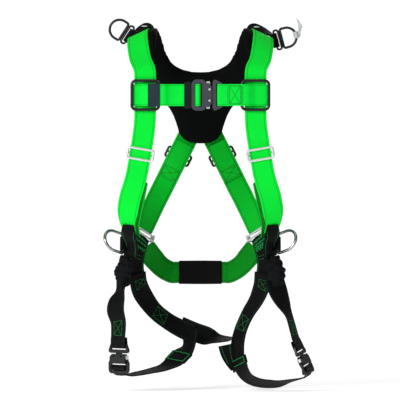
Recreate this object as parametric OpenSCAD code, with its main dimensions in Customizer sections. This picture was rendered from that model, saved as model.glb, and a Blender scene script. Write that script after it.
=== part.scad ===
// Full-body fall-arrest and rescue harness as it hangs on a standing wearer.
// Millimetres. +Z up, +Y behind the wearer, -Y in front, +X to the viewer's right.
// The origin is where a hook sits in the dorsal ring, between the shoulder blades.

/* [Webbing] */
// Width of every load-bearing strap
webbing_w = 45; // [40:1:47]
// Thickness of one layer of webbing
webbing_t = 2; // [1.5:0.1:2.2]
// Steps between two stations of a strap
strap_steps = 4; // [2:1:6]

/* [Torso] */
// Half the distance between the two front straps at the chest
strap_x = 114; // [111:1:117]
// How far the chest lies in front of the dorsal ring
chest_depth = 221; // [215:1:225]
// Height of the chest strap's middle line
chest_z = 50; // [45:1:55]
// Thickness of the back pad
pad_t = 13; // [10:1:14]

/* [Metalwork] */
// Rod radius of the chest rings
chest_rod_r = 3; // [2.5:0.1:3]
// Rod radius of the two side rings
side_rod_r = 3.2; // [2.5:0.1:3.4]
// Rod radius of the silver slide adjusters
adjuster_rod_r = 2.5; // [2.1:0.1:2.6]

/* [Legs] */
// Turn of the left leg's buckle about the vertical
left_buckle_yaw = -49; // [-55:1:-43]
// Turn of the right leg's buckle about the vertical
right_buckle_yaw = 70; // [64:1:76]
// Lean of the right leg's buckle towards the wearer
right_buckle_lean = -24; // [-27:1:-21]

/* [Hidden] */
$fn = 48;

// Gap kept between pieces that move against each other
gap = 0.5;
// Plane of the chest rings and of the two halves of the chest buckle
ring_y = -chest_depth - 7;
buckle_y = -chest_depth - 10;
// The chest strap where it lies over a ring's inner bar
over_y = -chest_depth - 13;
// The chest strap's two layers at the buckle's keeper
main_y = buckle_y + 3.6;
tail_y = main_y + 2.7;
// Centre-line size of a chest ring, and its corner radius
chest_ring_w = 56;
chest_ring_h = 60;
chest_ring_corner = 9;
chest_ring_x = strap_x - 0.5;

// Directions and small vector helpers
function unit(v) = v / norm(v);
function across(v, t) = unit(v - t * (v * t));
function place3(p) = [p[0], p[1], p[2]];
function width3(p) = [p[3], p[4], p[5]];
// A station is [x, y, z, and the strap's width direction]. side() mirrors a path.
function side(path, s) = [for (p = path) [p[0] * s, p[1], p[2], p[3] * s, p[4], p[5]]];
function blend4(a, b, c, d, t) =
  0.5 * (2 * b + (c - a) * t + (2 * a - 5 * b + 4 * c - d) * t * t
  + (3 * b - a - 3 * c + d) * t * t * t);
function smooth(p, n) = [
  for (i = [0:len(p) - 2]) for (k = [0:n - 1])
    blend4(p[max(i - 1, 0)], p[i], p[i + 1], p[min(i + 2, len(p) - 1)], k / n),
  p[len(p) - 1]
];

// Webbing swept along a path: a flat section with its width along each station's direction
module webbing(path, w = webbing_w, t = webbing_t, steps = strap_steps) {
  pts = smooth(path, steps);
  last = len(pts) - 1;
  rings = [
    for (i = [0:last])
      let (c = place3(pts[i]))
      let (along = unit(place3(pts[min(i + 1, last)]) - place3(pts[max(i - 1, 0)])))
      let (wide = across(width3(pts[i]), along))
      let (thick = cross(along, wide))
      for (k = [[-1, -1], [1, -1], [1, 1], [-1, 1]])
        c + wide * k[0] * w / 2 + thick * k[1] * t / 2
  ];
  walls = [
    for (i = [0:last - 1]) for (k = [0:3])
      let (a = 4 * i + k)
      let (b = 4 * i + (k + 1) % 4)
      for (f = k == 2 ? [[a, a + 4, b], [a + 4, b + 4, b]] : [[a, b + 4, b], [a, a + 4, b + 4]]) f
  ];
  ends = [[0, 1, 2], [0, 2, 3], [4 * last, 4 * last + 2, 4 * last + 1],
          [4 * last, 4 * last + 3, 4 * last + 2]];
  polyhedron(points = rings, faces = concat(walls, ends), convexity = 6);
}

// A flat rectangle with round corners, made of exact arcs
module round_rect(w, h, r) {
  square([w - 2 * r, h], center = true);
  square([w, h - 2 * r], center = true);
  for (sx = [-1, 1]) {
    for (sy = [-1, 1]) {
      translate([sx * (w / 2 - r), sy * (h / 2 - r)]) circle(r);
    }
  }
}

// A flat outline in X and Z, given a thickness along Y and centred on Y = 0
module upright(t) {
  translate([0, t / 2, 0]) rotate([90, 0, 0]) linear_extrude(t) children();
}

// A rectangular loop of round rod lying in X and Z
module rod_loop(w, h, corner, r) {
  rotate([90, 0, 0]) {
    for (q = [[1, 1, 0], [-1, 1, 90], [-1, -1, 180], [1, -1, 270]]) {
      translate([q[0] * (w / 2 - corner), q[1] * (h / 2 - corner), 0])
        rotate([0, 0, q[2]]) rotate_extrude(angle = 90) translate([corner, 0]) circle(r);
    }
    for (s = [-1, 1]) {
      translate([-(w / 2 - corner), s * h / 2, 0])
        rotate([0, 90, 0]) cylinder(h = w - 2 * corner, r = r);
      translate([s * w / 2, -(h / 2 - corner), 0])
        rotate([-90, 0, 0]) cylinder(h = h - 2 * corner, r = r);
    }
  }
}

// A D of round rod: its bar lies along Z at X = 0 and its bow reaches out along +X
module rod_d(bar, reach, r) {
  bend = r + 1.5;
  arm = reach - bar / 2 - bend;
  rotate([90, 0, 0]) {
    translate([0, bend - bar / 2, 0]) rotate([-90, 0, 0]) cylinder(h = bar - 2 * bend, r = r);
    for (s = [-1, 1]) {
      translate([bend, s * (bar / 2 - bend), 0]) rotate([0, 0, s > 0 ? 90 : 180])
        rotate_extrude(angle = 90) translate([bend, 0]) circle(r);
      translate([bend, s * bar / 2, 0]) rotate([0, 90, 0]) cylinder(h = arm, r = r);
    }
    for (turn = [-90, 0]) {
      translate([reach - bar / 2, 0, 0]) rotate([0, 0, turn])
        rotate_extrude(angle = 90) translate([bar / 2, 0]) circle(r);
    }
  }
}

// Puts children into a frame of their own: X and Z along the given directions
module in_frame(at, x_dir, z_dir) {
  x = unit(x_dir);
  z = across(z_dir, x);
  y = cross(z, x);
  multmatrix([[x[0], y[0], z[0], at[0]], [x[1], y[1], z[1], at[1]], [x[2], y[2], z[2], at[2]]])
    children();
}

// Puts children at a strap's station: X across the webbing, Z back up along it
module on_strap(path, i) {
  up = place3(path[i - 1]) - place3(path[i + 1]);
  in_frame(place3(path[i]), across(width3(path[i]), unit(up)), up) children();
}

/* ---- Paths of the straps: stations chosen by hand, mirrored for the right and left ---- */

// The station of the front strap that its slide adjuster sits on
adjuster_station = 14;
// From the dorsal plate, up over the shoulder and down the chest to the hip
shoulder_path = [
  [24, -13, 11, 0.88, 0, -0.48], [47, -13, 54, 0.88, 0, -0.48],
  [91, -18, 124, 0.9, 0, -0.42], [114, -47, 169, 0.91, 0, -0.41],
  [129, -103, 182, 0.91, 0, -0.42], [131, -150, 163, 0.93, 0, -0.35],
  [125, -194, 127, 0.98, 0, -0.1], [116, -216, 105, 1, 0, 0],
  [strap_x, -chest_depth, 82, 1, 0, 0], [strap_x, -chest_depth, 50, 1, 0, 0],
  [strap_x, -chest_depth, 18, 1, 0, 0], [strap_x + 1, -chest_depth, -8, 1, 0, 0],
  [117.3, -chest_depth, -30, 1, 0, 0.1], [120.4, -chest_depth, -51, 1, 0, 0.19],
  [124, -chest_depth, -72, 1, 0, 0.17], [127.6, -chest_depth, -93, 1, 0, 0.17],
  [131.2, -chest_depth, -113, 1, 0, 0.17], [137, -218, -134, 1, 0, 0.19],
  [145, -211, -160, 1, 0.1, 0.15], [151, -199, -192, 0.95, 0.3, 0.1],
  [151, -186, -216, 0.9, 0.45, 0], [144, -175, -236, 0.85, 0.5, -0.1]
];

// The free end that folds back up behind the front strap from the hip
tail_path = [
  [137, -160, -236, 0.45, 0.85, -0.2], [134, -170, -214, 0.35, 0.9, -0.1],
  [128, -182, -188, 0.3, 0.95, 0], [121, -192, -158, 0.3, 0.95, 0],
  [115, -198, -128, 0.3, 0.95, 0]
];

// From under the dorsal plate down and round the waist to the hip
back_path = [
  [20.6, -17, -22, 0.89, 0, 0.45], [33.2, -17, -47, 0.89, 0, 0.45],
  [46.7, -17, -74, 0.89, 0, 0.45], [60.2, -17, -101, 0.89, 0, 0.45],
  [76, -20, -133, 0.87, -0.05, 0.44], [93, -43, -167, 0.85, -0.2, 0.45],
  [107, -79, -199, 0.75, -0.4, 0.45], [115, -106, -222, 0.6, -0.6, 0.4],
  [117, -112, -234, 0.55, -0.7, 0.35]
];

// The back strap's returning layer, in front of its adjuster's middle bar
return_path = [
  [33, -25, -47, 0.89, 0, 0.45], [40, -25.5, -60.5, 0.89, 0, 0.45],
  [46.7, -25.5, -74, 0.89, 0, 0.45], [53.5, -25, -87.5, 0.89, 0, 0.45],
  [60.2, -22.5, -101, 0.89, 0, 0.45], [70.5, -21.8, -121.5, 0.88, 0, 0.45]
];

// Under the seat from hip to hip
seat_path = [
  [-116, -99, -266, 0.3, -0.4, 0.85], [-101, -80, -286, 0.3, -0.3, 0.9],
  [-82, -58, -307, 0.2, 0, 1], [-62, -44.4, -318.6, 0, 0, 1], [-50, -44, -319, 0, 0, 1],
  [-25, -44, -319, 0, 0, 1], [0, -44, -319, 0, 0, 1], [25, -44, -319, 0, 0, 1],
  [50, -44, -319, 0, 0, 1], [62, -44.4, -318.6, 0, 0, 1], [82, -58, -307, -0.2, 0, 1],
  [101, -80, -286, -0.3, -0.3, 0.9], [116, -99, -266, -0.3, -0.4, 0.85]
];

// From the back strap's buckle down over the hip
hip_path = [
  [119.4, -115.5, -241.5, 0.55, -0.7, 0.35], [127, -124, -262, 0.6, -0.7, 0.3],
  [133, -131, -286, 0.65, -0.7, 0.2], [135, -132, -311, 0.7, -0.65, 0.2],
  [132, -128, -334, 0.72, -0.62, 0.3]
];

// From the front strap's end down the side of the hip
hip_front_path = [
  [150, -189.5, -218, 0.78, 0.06, 0.6], [149, -183, -240, 0.7, 0.5, 0.35],
  [143, -177, -262, 0.55, 0.8, 0.1], [146, -172, -286, 0.6, 0.78, 0]
];

// The short loop of webbing that holds a side ring's bar
side_ring_at = [161, -157, -258];
side_bar = unit([0, 0.5, 0.866]);
side_bow = across([0.8, -0.5, 0.3], side_bar);
function tab_path(s) = [
  for (q = [[-15, 4.4], [-9, 5], [-2, 5.2], [4, 3.6], [5.4, 0], [4, -3.6], [-2, -5.2],
            [-9, -5], [-15, -4.4]])
    let (c = side_ring_at + side_bow * q[0] + cross(side_bar, side_bow) * q[1])
    [s * c[0], c[1], c[2], s * side_bar[0], side_bar[1], side_bar[2]]
];

// Where the leg buckles hang, and a point of a buckle's own frame in the harness's frame
left_buckle_at = [-168.5, -195, -509];
right_buckle_at = [220, -195, -510];
function turn_y(a, p) = [p[0] * cos(a) + p[2] * sin(a), p[1], p[2] * cos(a) - p[0] * sin(a)];
function turn_z(a, p) = [p[0] * cos(a) - p[1] * sin(a), p[0] * sin(a) + p[1] * cos(a), p[2]];
function leg_turn(s, p) = s < 0 ? turn_z(left_buckle_yaw, turn_y(-90, p))
  : turn_y(right_buckle_lean, turn_z(right_buckle_yaw, turn_y(-90, p)));
function leg_stations(s, points, z) = [
  for (p = points)
    let (c = (s < 0 ? left_buckle_at : right_buckle_at) + leg_turn(s, [p[0], p[1], 0]))
    let (w = leg_turn(s, [0, 0, z]))
    [c[0], c[1], c[2], w[0], w[1], w[2]]
];
// Webbing through a leg buckle's tongue, and round its body's roller
tongue_turn = [
  [62, -2.6], [54, -3.3], [46, -3.5], [40, -3.6], [36.6, -2.8], [35.6, 0], [36.6, 2.6],
  [40, 3.6], [48, 3.4], [58, 2.4]
];
roller_turn = [
  [-20, 8.5], [-17.5, 4.9], [-13.5, 3.6], [-10.6, 2.4], [-9.8, 0], [-8.3, -3.6], [-4.8, -4.8],
  [-1.4, -3.4], [0, 0], [-1.4, 3.4], [-5, 5.4], [-10, 7], [-14, 8]
];

// Left leg: behind the thigh to the crotch, then forward under it to the buckle
leg_strap_l_path = [
  [-131, -133, -320, 0.72, 0.62, 0.3], [-128, -127, -345, 0.75, 0.6, 0.35],
  [-117, -110, -369, 0.7, 0.6, 0.5], [-95, -92, -399, 0.5, 0.7, 0.6],
  [-68, -80, -421, 0.4, 0.7, 0.7],
  [-42, -76, -436, 0.3, 0.6, 0.8], [-16, -78, -447, 0.25, 0.5, 0.85]
];
leg_lower_l_path = concat([
  [-22, -84, -446, -0.6, 0.5, -0.6], [-22, -98, -464, -0.7, 0.5, -0.5],
  [-37, -122, -486, -0.7, 0.5, 0.2], [-54, -146, -503, -0.4, 0.8, 0.4],
  [-76, -163, -515, 0, 0.95, 0.3], [-104, -174, -522, 0, 0.97, 0.2],
  [-130, -181, -527, -0.3, 0.9, 0.1], [-150, -185, -530, -0.55, 0.8, 0]
], leg_stations(-1, roller_turn, 1));
leg_front_l_path = concat([
  [-158, -176, -332, 0.7, -0.7, 0], [-166, -184, -352, 0.35, -0.9, 0],
  [-173, -191, -373, 0.7, -0.7, 0], [-176, -194, -395, 0.78, -0.6, 0],
  [-170, -197, -420, 0.7, -0.7, 0]
], leg_stations(-1, tongue_turn, -1));

// Right leg: nearly straight down inside the thigh, then forward and out to the buckle
leg_strap_r_path = [
  [131, -133, -320, 0.72, -0.62, 0.3], [128, -128, -345, 0.7, -0.65, 0.3],
  [117, -119, -374, 0.65, -0.7, 0.3],
  [99, -108, -405, 0.6, -0.75, 0.2], [85, -104, -437, 0.6, -0.8, 0.1],
  [78, -106, -468, 0.6, -0.8, 0], [78, -114, -498, 0.6, -0.8, 0],
  [82, -122, -520, 0.6, -0.8, 0]
];
leg_lower_r_path = concat([
  [80, -126, -496, 0.6, -0.8, 0.05], [84, -130, -512, 0.6, -0.78, 0.15],
  [93, -137, -529, 0.4, -0.8, 0.4], [109, -146, -542, 0.1, -0.85, 0.45],
  [132, -157, -548, 0, -0.9, 0.4], [158, -168, -548, 0, -0.92, 0.35],
  [184, -178, -542, -0.1, -0.95, 0.15], [206, -186, -537, -0.3, -0.94, 0]
], leg_stations(1, roller_turn, 1));
leg_front_r_path = concat([
  [154, -178, -332, 0.85, 0.3, -0.3], [162, -183, -358, 0.85, 0.3, -0.4],
  [173, -187, -384, 0.7, 0.5, -0.45], [185, -191, -410, 0.4, 0.85, -0.2],
  [192, -194, -434, 0.31, 0.94, 0.1]
], leg_stations(1, tongue_turn, -1));

// The strap that ties the two leg loops together behind the thighs
cross_path = [
  [-44, -69, -430, 0.3, 0.5, 0.8], [-14, -71, -443, 0.25, 0.5, 0.85],
  [12, -72, -452, 0.2, 0.5, 0.8], [34, -78, -458, 0.1, 0.9, 0.4], [54, -86, -459, 0, 1, 0.2],
  [68, -92, -458, 0, 1, 0.1]
];
flap_path = [
  [52, -110, -470, 0.9, 0.1, 0.2], [56, -112, -488, 0.9, 0.1, 0.1],
  [62, -115, -505, 0.9, 0.1, 0], [69, -118, -522, 0.9, 0.1, 0]
];

// Rescue rings stand out from the shoulders: where each D's bar is, its lean, and its second bar
shoulder_ring_y = -78;
shoulder_ring_at = [[-161, shoulder_ring_y, 185.5], [171, shoulder_ring_y, 172]];
shoulder_ring_lean = [33, -15];
shoulder_rod_r = 2.7;
second_bar_x = -14;
second_rod_r = 2.2;

// Over each shoulder, from the pad's lobe to the webbing round the ring's second bar
loop_w = 30;
arch_l_path = [
  [-98, -86, 182, 0, 0.85, 0.52], [-100, -86, 189, 0, 0.8, 0.6],
  [-107, -86, 194.5, 0, 0.78, 0.62], [-117, -85, 195, 0, 0.78, 0.62],
  [-128, -83, 191, 0, 0.88, 0.48], [-137.5, -80, 185, 0, 0.95, 0.3]
];
arch_r_path = [
  [98, -86, 181, 0, 0.85, 0.52], [100, -86, 188, 0, 0.8, 0.6],
  [107, -86, 193.5, 0, 0.78, 0.62], [118, -85, 193.5, 0, 0.78, 0.62],
  [134, -82, 188, 0, 0.88, 0.48], [148, -80, 180.5, 0, 0.95, 0.3]
];
// The turn of webbing round the second bar, in the ring's own X and Y
lug_path = [
  for (q = [[-8, 3.4], [-2, 4.2], [3, 3], [4.4, 0], [3, -3], [-2, -4.2], [-8, -3.4]])
    [second_bar_x + q[0], q[1], 0, 0, 0, 1]
];

// The chest strap's two halves, drawn in X and Y and as wide as the webbing along Z
function level(points) = [for (p = points) [p[0], p[1], chest_z, 0, 0, 1]];
function wrap_end(s) = [
  [s * 98, over_y + 1], [s * 112, -chest_depth - 5.4], [s * 126, -chest_depth - 4],
  [s * 135, -chest_depth - 3.4], [s * 140, -chest_depth - 1.6], [s * 141.5, -chest_depth + 2],
  [s * 139, -chest_depth + 5.4], [s * 130, -chest_depth + 6.6], [s * 112, -chest_depth + 7],
  [s * 96, -chest_depth + 5]
];
chest_left_path = level(concat(
  [[-64, tail_y], [-50, tail_y], [-36, tail_y], [-20, tail_y], [-11, tail_y - 0.2],
   [-5, buckle_y + 5.2], [-1.4, buckle_y + 3.4], [0, buckle_y], [-1.4, buckle_y - 3.4],
   [-4.8, buckle_y - 4.8], [-8.3, buckle_y - 3.6], [-9.8, buckle_y], [-10.6, buckle_y + 2.4],
   [-13.5, main_y], [-20, main_y], [-36, main_y], [-50, main_y], [-64, main_y - 2], [-74, over_y],
   [-86, over_y], [-98, over_y], [-109, over_y]],
  [[-118, -chest_depth - 8.6]],
  [for (k = [2:9]) wrap_end(-1)[k]]
));
chest_right_path = level(concat(
  [[58, buckle_y + 1.6], [48, buckle_y + 3.4], [40, buckle_y + 3.6], [36.6, buckle_y + 2.6],
   [35.6, buckle_y], [36.6, buckle_y - 2.8], [40, buckle_y - 3.6], [48, buckle_y - 3.4],
   [60, over_y + 0.2], [74, over_y], [86, over_y]],
  [for (k = [0:9]) wrap_end(1)[k]]
));

/* ---- Back pad and straps sewn to it ---- */

pad_back = -21;
lobe_w = 56;
lobe_path = [
  [90, pad_back - 8, 96, 1, 0, -0.2], [101, pad_back - 15, 130, 0.94, 0, -0.34],
  [108, pad_back - 41, 158, 0.91, 0, -0.41], [115, -100, 178, 0.91, 0, -0.42],
  [119, -134, 168, 0.92, 0, -0.38], [121, -158, 142, 0.95, 0, -0.3]
];
// Half of the pad's outline, from the neck round to the bottom
pad_half = [
  [20, 103.5], [40, 108.5], [55, 116.5], [65, 126], [72, 137], [86, 152], [112, 138],
  [109, 112], [102, 84], [92, 55], [66, 30], [56, 12], [49, -8], [44, -26], [35, -38], [20, -45]
];
pad_outline = concat(
  [[0, 102.5]], pad_half, [[0, -47]], [for (k = [15:-1:0]) [-pad_half[k][0], pad_half[k][1]]]
);

module back_pad() {
  color([0.05, 0.05, 0.055]) {
    translate([0, pad_back - pad_t / 2, 0]) upright(pad_t) polygon(pad_outline);
    for (s = [-1, 1]) webbing(side(lobe_path, s), lobe_w, 9);
  }
}

module shoulder_strap(s) {
  color([0.02, 0.9, 0.25]) webbing(side(shoulder_path, s));
}

module torso_tail(s) {
  color([0, 0.5, 0.1]) webbing(side(tail_path, s));
}

module back_strap(s) {
  color([0.02, 0.7, 0.2]) {
    webbing(side(back_path, s));
    webbing(side(return_path, s));
  }
}

module seat_strap() {
  color([0, 0.55, 0.1]) webbing(seat_path);
}

module hip_strap(s) {
  color([0.08, 0.08, 0.09]) {
    webbing(side(hip_path, s));
    webbing(side(hip_front_path, s));
  }
}

// Places children at a shoulder's ring: 0 is the left one, 1 the right one
module at_shoulder_ring(k) {
  translate(shoulder_ring_at[k]) rotate([0, shoulder_ring_lean[k], 0])
    mirror([k == 0 ? 1 : 0, 0, 0]) children();
}

module shoulder_loop(path, k) {
  color([0.08, 0.08, 0.09]) {
    webbing(path, loop_w, 2 * webbing_t, 2);
    at_shoulder_ring(k) webbing(lug_path, loop_w, steps = 2);
  }
}

// Bunched webbing over the hip: a soft upright roll
module hip_pad(s) {
  color([0.07, 0.07, 0.08]) hull() {
    translate([s * 155, -181, -292]) sphere(12, $fn = 20);
    translate([s * 160, -180, -316]) sphere(17, $fn = 20);
    translate([s * 160, -182, -334]) sphere(14, $fn = 20);
  }
}

/* ---- Leg straps ---- */

module leg_webbing(path, w = webbing_w, steps = strap_steps) {
  color([0.08, 0.08, 0.09]) webbing(path, w, webbing_t, steps);
}

// A band of webbing sewn round a leg strap from one of its stations to another
module leg_keeper(path, first, last) {
  color([0.1, 0.1, 0.11]) difference() {
    webbing([for (k = [first:last]) path[k]], webbing_w + 3, webbing_t + 3);
    webbing([for (k = [max(first - 1, 0):last + 1]) path[k]], webbing_w + 1, webbing_t + 1);
  }
}

/* ---- Rings and plates ---- */

// Dorsal plate: a flat pierced plate on the back that the shoulder straps cross under
plate_y = -9.5;
dorsal_hinge_z = 26;
dorsal_rod_r = 4;
eye_r = 6.5;
module dorsal_plate() {
  color([0.3, 0.31, 0.33]) {
    translate([0, plate_y, 0]) upright(4) difference() {
      round_rect(74, 88, 16);
      for (s = [-1, 1]) translate([0, s * 33]) round_rect(50, 7, 3);
    }
    for (s = [-1, 1]) {
      translate([s * 14, 0, dorsal_hinge_z]) rotate([0, 90, 0]) difference() {
        translate([-eye_r, plate_y + 1, -4]) cube([2 * eye_r, eye_r - plate_y - 1, 8]);
        translate([0, 0, -5]) cylinder(h = 10, r = dorsal_rod_r + 0.1);
      }
    }
  }
}

module dorsal_ring() {
  color([0.75, 0.76, 0.78]) translate([0, 0, dorsal_hinge_z]) rotate([0, 90, 0])
    rod_d(64, 58, dorsal_rod_r);
}

// Side rings stand out from the hips on their bars
module side_ring(s) {
  color([0.8, 0.81, 0.83]) mirror([s > 0 ? 0 : 1, 0, 0])
    in_frame(side_ring_at, side_bow, side_bar) rod_d(46, 46, side_rod_r);
}

module side_tab(s) {
  color([0.1, 0.11, 0.11]) webbing(tab_path(s), 32, steps = 2);
}

// A black D with a second bar that frames a slot for webbing
module shoulder_ring(k) {
  color([0.06, 0.06, 0.07]) at_shoulder_ring(k) {
    rod_d(41, shoulder_reach, shoulder_rod_r);
    translate([(second_bar_x - 4.6) / 2, 0, 0])
      rod_loop(-4.6 - second_bar_x, 41, 4, second_rod_r);
  }
}

// A soft label sleeve round the right ring's bow, with its free end standing up
shoulder_reach = 31;
module ring_tag() {
  color([0.92, 0.93, 0.94]) at_shoulder_ring(1)
    translate([shoulder_reach, 0, 0]) difference() {
      union() {
        translate([0, 0, -7]) cylinder(h = 14, r = 6);
        translate([4.5, -0.6, -7]) cube([8, 1.2, 30]);
      }
      translate([0, 0, -8]) cylinder(h = 16, r = 5);
    }
}

/* ---- Slide adjusters ---- */

// A three-bar slide: a rod frame in front of the strap and a middle bar behind it
module three_bar(r, depth) {
  w = webbing_w + 8;
  h = 22;
  bend = 3;
  stub_r = r - 0.2;
  translate([0, -depth, 0]) rod_loop(w, h, bend + 1, r);
  translate([bend - w / 2, depth, 0]) rotate([0, 90, 0]) cylinder(h = w - 2 * bend, r = stub_r);
  for (s = [-1, 1]) {
    translate([s * w / 2, -depth, 0]) rotate([-90, 0, 0])
      cylinder(h = 2 * depth - bend, r = stub_r);
    translate([s * (w / 2 - bend), depth - bend, 0]) rotate([0, 0, s > 0 ? 0 : 90])
      rotate_extrude(angle = 90) translate([bend, 0]) circle(stub_r);
  }
}

bar_offset = adjuster_rod_r + webbing_t / 2 + gap;
module torso_adjuster(s) {
  color([0.82, 0.83, 0.85]) mirror([s > 0 ? 0 : 1, 0, 0])
    on_strap(shoulder_path, adjuster_station) three_bar(adjuster_rod_r, bar_offset);
}

module back_adjuster(s) {
  color([0.06, 0.06, 0.07]) mirror([s > 0 ? 0 : 1, 0, 0])
    on_strap(back_path, 2) rotate([0, 0, 180]) three_bar(adjuster_rod_r, bar_offset);
}

// Friction buckle at the hip, where the back strap meets the black webbing
module hip_buckle(s) {
  color([0.78, 0.79, 0.81]) mirror([s > 0 ? 0 : 1, 0, 0])
    in_frame([118, -113.5, -237.5], [0.62, -0.66, 0.42], [-0.2, 0.3, 0.9]) {
      for (z = [-4.5, 4.5]) {
        translate([0, -4, z]) rotate([0, 90, 0]) cylinder(h = 52, r = 2, center = true);
      }
      for (x = [-26, 26]) translate([x, -1, 0]) cube([3, 10, 15], center = true);
      translate([0, 3, 0]) rotate([0, 90, 0]) cylinder(h = 52, r = 1.6, center = true);
    }
}

/* ---- Sleeve and keepers ---- */

// A flat sleeve of rectangular section round webbing that runs along X
module sleeve(length, inner_h, inner_t, wall) {
  difference() {
    cube([length, inner_t + 2 * wall, inner_h + 2 * wall], center = true);
    cube([length + 2, inner_t, inner_h], center = true);
  }
}

module seat_sleeve() {
  color([0.06, 0.06, 0.07]) translate([0, -44, -319])
    sleeve(90, webbing_w + 1.4, webbing_t + 2.2, 1.5);
}

module chest_keeper() {
  color([0.12, 0.18, 0.21]) translate([-96, over_y, chest_z])
    sleeve(25, webbing_w + 1.2, webbing_t + 0.8, 1);
}

module buckle_keeper() {
  color([0.09, 0.09, 0.1]) translate([-26, (main_y + tail_y) / 2, chest_z])
    sleeve(15, webbing_w + 7, 6.2, 1.2);
}

/* ---- Chest rings and the quick-connect buckle ---- */

module chest_strap(path) {
  color([0.02, 0.9, 0.25]) webbing(path, steps = 2);
}

module chest_ring(s) {
  color([0.06, 0.08, 0.08]) translate([s * chest_ring_x, ring_y, chest_z])
    rod_loop(chest_ring_w, chest_ring_h, chest_ring_corner, chest_rod_r);
}

// The buckle's own frame: X along the pull, Z across the webbing, front towards -Y
pin_at = [[18.8, 11.6], [18.8, -11.6]];
module buckle_body() {
  difference() {
    union() {
      upright(4) translate([-3, 0]) difference() {
        round_rect(29, 64, 9);
        translate([-1.5, 0]) round_rect(15, 48, 3);
      }
      upright(11) polygon([[3.3, -24.5], [17, -24.5], [23.3, -17.5], [23.3, 17.5],
                           [17, 24.5], [3.3, 24.5]]);
      translate([-4.8, 0, -25]) cylinder(h = 50, r = 3);
    }
    translate([8, -2, -9.4]) cube([18, 4, 18.8]);
    for (s = [-1, 1]) translate([12, -3, s * 21 - 3.8]) cube([8, 6, 7.6]);
    for (p = pin_at) translate([p[0], -7, p[1]]) rotate([-90, 0, 0]) cylinder(h = 14, r = 2.2);
  }
}

module buckle_pins() {
  for (p = pin_at) {
    translate([p[0], -6.2, p[1]]) rotate([-90, 0, 0]) cylinder(h = 12.4, r = 2.2);
  }
}

module buckle_tongue() {
  upright(4) difference() {
    polygon([[25, -25], [27, -31], [31, -32], [45, -25], [45, 25], [31, 32], [27, 31], [25, 25]]);
    translate([35.6, 0]) round_rect(6, 48, 2);
  }
  translate([9, -1.5, -8.8]) cube([18, 3, 17.6]);
}

// One of the two spring buttons that free the tongue; s says which edge it stands out of
module buckle_button(s) {
  translate([12.5, -2.5, s * 24.4 - 3.8]) cube([7, 5, 7.6]);
}

module at_chest() {
  translate([0, buckle_y, chest_z]) children();
}

module chest_buckle_body() {
  color([0.32, 0.34, 0.37]) at_chest() buckle_body();
}

module chest_buckle_pins() {
  color([0.85, 0.86, 0.88]) at_chest() buckle_pins();
}

module chest_buckle_tongue() {
  color([0.32, 0.34, 0.37]) at_chest() buckle_tongue();
}

module chest_button(s) {
  color([0.85, 0.86, 0.88]) at_chest() buckle_button(s);
}

/* ---- Leg buckles ---- */

module at_leg(s) {
  if (s < 0) {
    translate(left_buckle_at) rotate([0, 0, left_buckle_yaw]) rotate([0, -90, 0]) children();
  } else {
    translate(right_buckle_at) rotate([0, right_buckle_lean, 0])
      rotate([0, 0, right_buckle_yaw]) rotate([0, -90, 0]) children();
  }
}

module leg_buckle_body(s) {
  color([0.08, 0.08, 0.09]) at_leg(s) buckle_body();
}

module leg_buckle_tongue(s) {
  color([0.08, 0.08, 0.09]) at_leg(s) buckle_tongue();
}

module leg_button(s, e) {
  color([0.85, 0.86, 0.88]) at_leg(s) buckle_button(e);
}

back_pad();
shoulder_strap(-1);  // shoulder_strap_l
shoulder_strap(1);  // shoulder_strap_r
torso_tail(-1);  // torso_tail_l
torso_tail(1);  // torso_tail_r
back_strap(-1);  // back_strap_l
back_strap(1);  // back_strap_r
seat_strap();
hip_strap(-1);  // hip_strap_l
hip_strap(1);  // hip_strap_r
hip_pad(-1);  // hip_pad_l
hip_pad(1);  // hip_pad_r
leg_webbing(leg_strap_l_path);  // leg_strap_l
leg_webbing(leg_strap_r_path);  // leg_strap_r
leg_webbing(leg_front_l_path, steps = 3);  // leg_front_strap_l
leg_webbing(leg_front_r_path, steps = 3);  // leg_front_strap_r
leg_webbing(leg_lower_l_path, steps = 3);  // leg_lower_strap_l
leg_webbing(leg_lower_r_path, steps = 3);  // leg_lower_strap_r
leg_keeper(leg_lower_l_path, 2, 3);  // leg_keeper_l
leg_keeper(leg_lower_r_path, 0, 1);  // leg_keeper_r
leg_webbing(cross_path);  // cross_strap
leg_webbing(flap_path, 26);  // leg_flap
shoulder_loop(arch_l_path, 0);  // shoulder_loop_l
shoulder_loop(arch_r_path, 1);  // shoulder_loop_r
dorsal_plate();
hip_buckle(-1);  // hip_buckle_l
hip_buckle(1);  // hip_buckle_r
side_tab(-1);  // side_tab_l
side_tab(1);  // side_tab_r
leg_buckle_body(-1);  // leg_buckle_body_l
leg_buckle_body(1);  // leg_buckle_body_r
dorsal_ring();
side_ring(-1);  // side_ring_l
side_ring(1);  // side_ring_r
shoulder_ring(0);  // shoulder_ring_l
shoulder_ring(1);  // shoulder_ring_r
ring_tag();
torso_adjuster(-1);  // torso_adjuster_l
torso_adjuster(1);  // torso_adjuster_r
back_adjuster(-1);  // back_adjuster_l
back_adjuster(1);  // back_adjuster_r
seat_sleeve();
chest_ring(-1);  // chest_ring_l
chest_ring(1);  // chest_ring_r
chest_strap(chest_left_path);  // chest_strap_left
chest_strap(chest_right_path);  // chest_strap_right
chest_buckle_body();
chest_buckle_pins();
chest_buckle_tongue();
chest_button(1);  // chest_button_top
chest_button(-1);  // chest_button_bottom
chest_keeper();
buckle_keeper();
leg_buckle_tongue(-1);  // leg_buckle_tongue_l
leg_buckle_tongue(1);  // leg_buckle_tongue_r
leg_button(-1, -1);  // leg_button_front_l
leg_button(-1, 1);  // leg_button_back_l
leg_button(1, 1);  // leg_button_front_r
leg_button(1, -1);  // leg_button_back_r
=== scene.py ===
"""Looks for a full-body fall-arrest harness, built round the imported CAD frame. Metres."""
import math
import random

import bmesh
import bpy
from mathutils import Matrix, Vector, noise


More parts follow.
